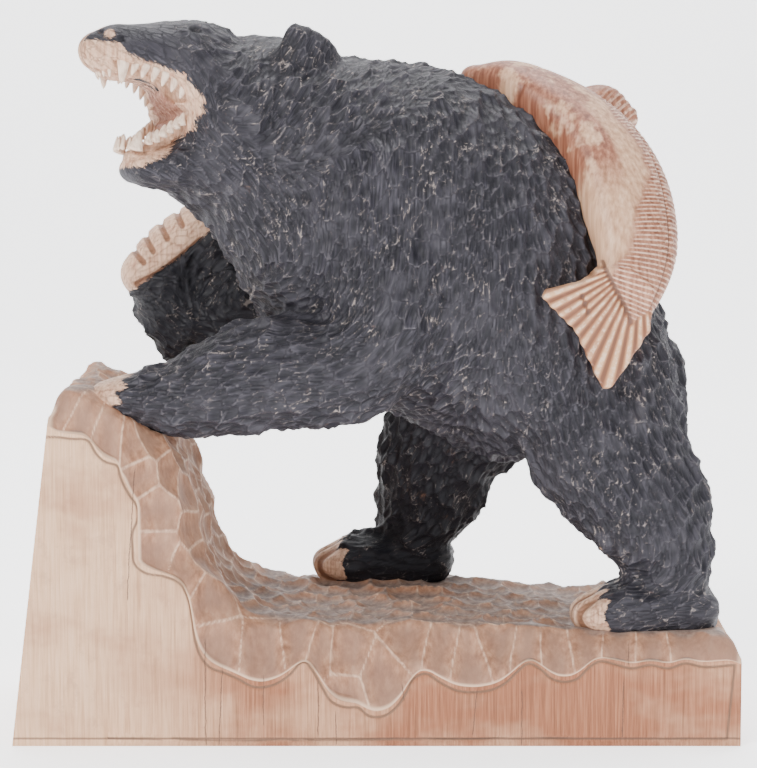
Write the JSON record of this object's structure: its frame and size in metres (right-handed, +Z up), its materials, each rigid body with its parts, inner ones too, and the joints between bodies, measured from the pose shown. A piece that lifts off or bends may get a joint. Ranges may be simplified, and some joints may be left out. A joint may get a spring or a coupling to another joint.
{
  "type": "carved wooden bear",
  "caption": "Wooden bear carved from one block, mouth open, climbing a gouged rock with a salmon over its back; stands on its flat underside.",
  "frame": {"origin": "middle of the rock's flat underside", "axes": "+Z up, the bear faces -X, its left side faces -Y"},
  "size_m": [0.423, 0.1893, 0.4229],
  "materials": {
    "black_stained_wood": "blue-black stain, worn pale on the tool ridges",
    "bare_wood": "bare, aged, matt",
    "salmon_wood": "red-brown tint worn to bare wood, low sheen"
  },
  "bodies": {
    "root": {"carved_bear": "black_stained_wood"}
  },
  "joints": []
}
